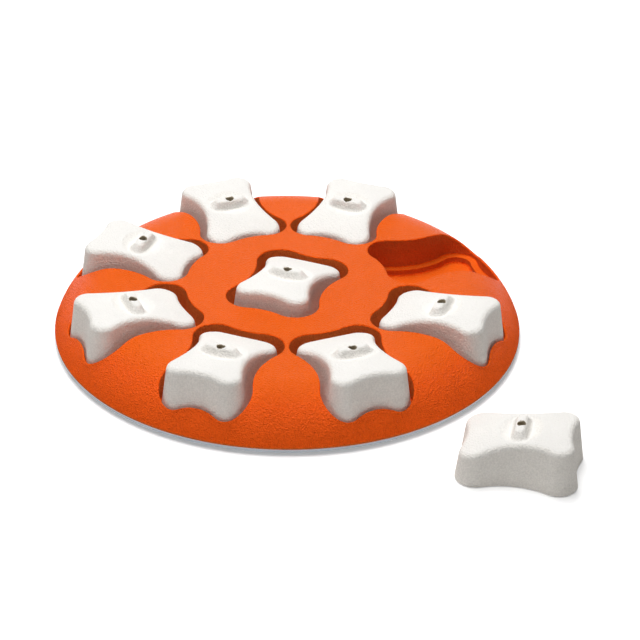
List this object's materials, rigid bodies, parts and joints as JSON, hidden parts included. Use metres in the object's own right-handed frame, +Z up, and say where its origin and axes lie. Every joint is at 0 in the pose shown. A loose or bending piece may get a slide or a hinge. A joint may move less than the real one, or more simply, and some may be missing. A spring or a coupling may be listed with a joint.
{
  "type": "dog puzzle feeder toy",
  "caption": "Round domed treat board with bone-shaped pockets, each hidden under a hollow bone that lifts off; one bone lies beside the board.",
  "frame": {"origin": "on the floor under the board's centre, at the lower face of the centre foot", "axes": "+Z up out of the board; +X to the board's right and +Y to its back, with the loose bone at the front right"},
  "size_m": [0.3066, 0.3196, 0.042],
  "materials": {
    "orange_shell": "fine moulded grain, satin",
    "pale_base": "smooth satin",
    "white_bone": "fine moulded grain, satin",
    "foot_rubber": "matt",
    "screw_steel": "plain zinc"
  },
  "bodies": {
    "board": {"top_shell": "orange_shell", "base_plate": "pale_base", "base_screws": "screw_steel", "rubber_foot_centre": "foot_rubber", "rubber_foot_1": "foot_rubber", "rubber_foot_2": "foot_rubber", "rubber_foot_3": "foot_rubber", "rubber_foot_4": "foot_rubber", "rubber_foot_5": "foot_rubber", "rubber_foot_6": "foot_rubber", "rubber_foot_7": "foot_rubber", "rubber_foot_8": "foot_rubber"},
    "bone_back_right_body": {"bone_back_right": "white_bone"},
    "bone_back_left_body": {"bone_back_left": "white_bone"},
    "bone_upper_left_body": {"bone_upper_left": "white_bone"},
    "bone_left_body": {"bone_left": "white_bone"},
    "bone_front_left_body": {"bone_front_left": "white_bone"},
    "bone_front_right_body": {"bone_front_right": "white_bone"},
    "bone_right_body": {"bone_right": "white_bone"},
    "bone_centre_body": {"bone_centre": "white_bone"},
    "bone_loose_body": {"bone_loose": "white_bone"}
  },
  "joints": [
    {"name": "bone_back_right_lift", "type": "slide", "parent": "board", "child": "bone_back_right_body", "axis": [0, 0, 1], "range_m": [0, 0.045]},
    {"name": "bone_back_left_lift", "type": "slide", "parent": "board", "child": "bone_back_left_body", "axis": [0, 0, 1], "range_m": [0, 0.045]},
    {"name": "bone_upper_left_lift", "type": "slide", "parent": "board", "child": "bone_upper_left_body", "axis": [0, 0, 1], "range_m": [0, 0.045]},
    {"name": "bone_left_lift", "type": "slide", "parent": "board", "child": "bone_left_body", "axis": [0, 0, 1], "range_m": [0, 0.045]},
    {"name": "bone_front_left_lift", "type": "slide", "parent": "board", "child": "bone_front_left_body", "axis": [0, 0, 1], "range_m": [0, 0.045]},
    {"name": "bone_front_right_lift", "type": "slide", "parent": "board", "child": "bone_front_right_body", "axis": [0, 0, 1], "range_m": [0, 0.045]},
    {"name": "bone_right_lift", "type": "slide", "parent": "board", "child": "bone_right_body", "axis": [0, 0, 1], "range_m": [0, 0.045]},
    {"name": "bone_centre_lift", "type": "slide", "parent": "board", "child": "bone_centre_body", "axis": [0, 0, 1], "range_m": [0, 0.045]},
    {"name": "bone_loose_lift", "type": "slide", "parent": "board", "child": "bone_loose_body", "axis": [0, 0, 1], "range_m": [0, 0.045]}
  ]
}
